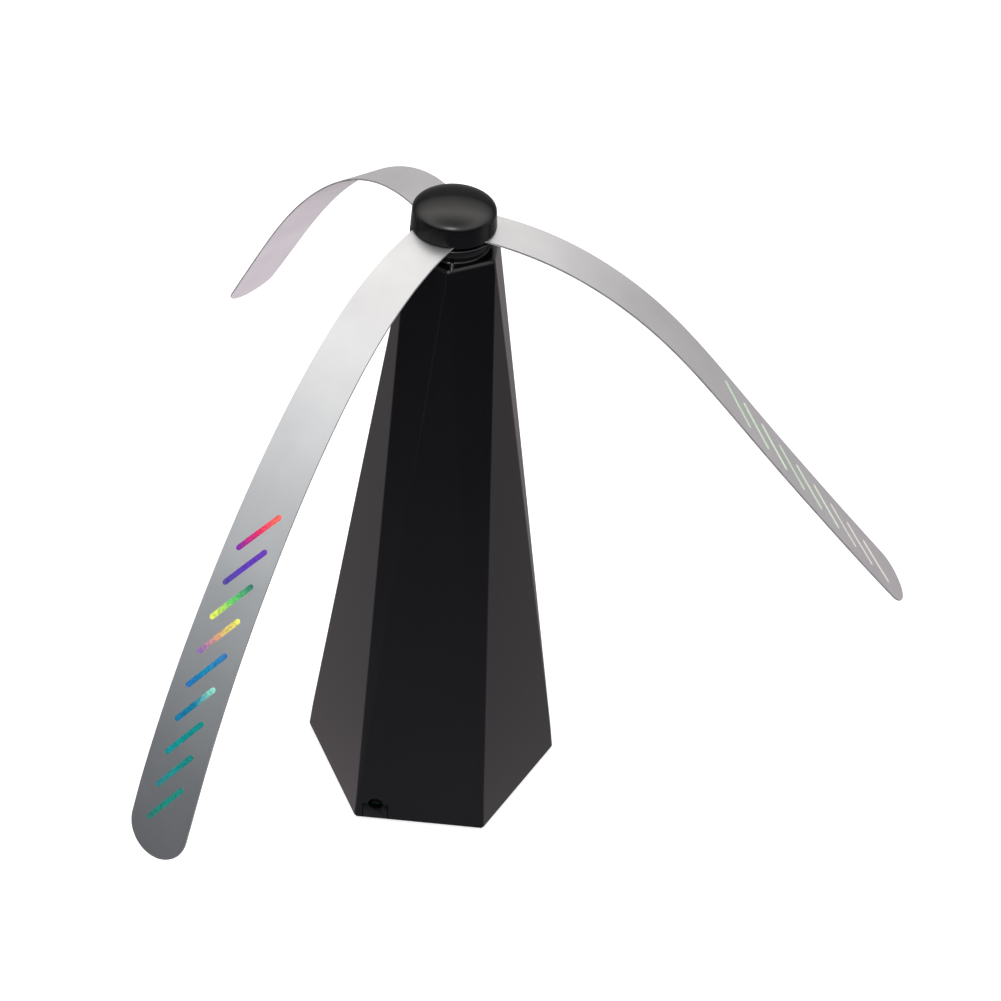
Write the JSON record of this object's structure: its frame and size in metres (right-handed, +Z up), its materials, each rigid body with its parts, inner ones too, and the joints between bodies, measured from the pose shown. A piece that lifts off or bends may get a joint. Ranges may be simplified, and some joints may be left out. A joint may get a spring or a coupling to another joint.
{
  "type": "tabletop fly-repelling fan",
  "caption": "Tabletop fly fan: a faceted hexagonal tower with a round hub that turns soft drooping strip blades to keep insects off food.",
  "frame": {"origin": "on the tower axis, on the flat underside of the bottom cover; the rubber feet stand 1 mm proud below it", "axes": "+Z up along the tower and rotor axis; -Y is the front, square to the facet that holds the jack; +X to the right"},
  "size_m": [0.2655, 0.2758, 0.2557],
  "materials": {
    "shell_plastic": "satin black moulding with a soft sheen",
    "hub_plastic": "smooth satin black moulding",
    "dark_plastic": "matt black moulding",
    "blade_film": "soft silver-white film with a pearl sheen",
    "rubber": "matt rubber",
    "screw_steel": "zinc-plated",
    "bright_steel": "ground steel",
    "nickel": "nickel-plated",
    "brass": "plain brass",
    "winding": "enamelled copper wire on an iron core",
    "magnet": "dark ferrite",
    "cell_sleeve": "printed film sleeve, no text",
    "board": "green solder mask",
    "red_insulation": "soft insulation",
    "black_insulation": "soft insulation",
    "pale_plastic": "natural acetal"
  },
  "bodies": {
    "tower": {"tower_shell": "shell_plastic", "bottom_cover": "shell_plastic", "foot_pad_1": "rubber", "foot_pad_2": "rubber", "foot_pad_3": "rubber", "cover_screw_1": "screw_steel", "cover_screw_2": "screw_steel", "cover_screw_3": "screw_steel", "door_hinge_pin": "bright_steel", "cell_1": "cell_sleeve", "cell_2": "cell_sleeve", "contact_plus": "nickel", "contact_minus": "nickel", "minus_spring": "nickel", "dc_jack": "dark_plastic", "dc_jack_pin": "nickel", "circuit_board": "board", "switch_body": "dark_plastic", "lead_red": "red_insulation", "lead_black": "black_insulation", "motor_can": "bright_steel", "motor_end_cap": "pale_plastic", "motor_terminal_1": "brass", "motor_terminal_2": "brass", "field_magnet_1": "magnet", "field_magnet_2": "magnet", "gearbox_base": "dark_plastic", "gearbox_lid": "dark_plastic", "gearbox_screw_1": "screw_steel", "gearbox_screw_2": "screw_steel", "lay_pin": "bright_steel", "top_bush": "brass"},
    "rotor": {"hub_disc": "hub_plastic", "blade_1": "blade_film", "blade_2": "blade_film", "blade_3": "blade_film", "hub_cap": "hub_plastic", "hub_screw": "screw_steel", "output_shaft": "bright_steel", "output_gear": "pale_plastic", "thrust_washer": "nickel"},
    "lay_shaft": {"lay_gear": "pale_plastic"},
    "motor_rotor": {"motor_shaft": "bright_steel", "motor_pinion": "brass", "armature": "winding"},
    "door": {"battery_door": "shell_plastic", "bridge_contact": "nickel", "bridge_spring": "nickel"},
    "switch": {"switch_knob": "dark_plastic"}
  },
  "joints": [
    {"name": "rotor_spin", "type": "hinge", "parent": "tower", "child": "rotor", "pos_m": [0, 0, 0.21], "axis": [0, 0, 1], "continuous": true},
    {"name": "lay_gear_spin", "type": "hinge", "parent": "tower", "child": "lay_shaft", "pos_m": [0.0084, 0, 0.18], "axis": [0, 0, 1], "continuous": true},
    {"name": "motor_spin", "type": "hinge", "parent": "tower", "child": "motor_rotor", "pos_m": [0, 0, 0.16], "axis": [0, 0, 1], "continuous": true},
    {"name": "door_hinge", "type": "hinge", "parent": "tower", "child": "door", "pos_m": [0, 0.0275, 0.0015], "axis": [1, 0, 0], "range_deg": [0, 100]},
    {"name": "switch_slide", "type": "slide", "parent": "tower", "child": "switch", "axis": [1, 0, 0], "range_m": [0, 0.004]}
  ],
  "couplings": [
    {"joint": "lay_gear_spin", "follows": "rotor_spin", "ratio": -3.2},
    {"joint": "motor_spin", "follows": "rotor_spin", "ratio": 10.24}
  ]
}
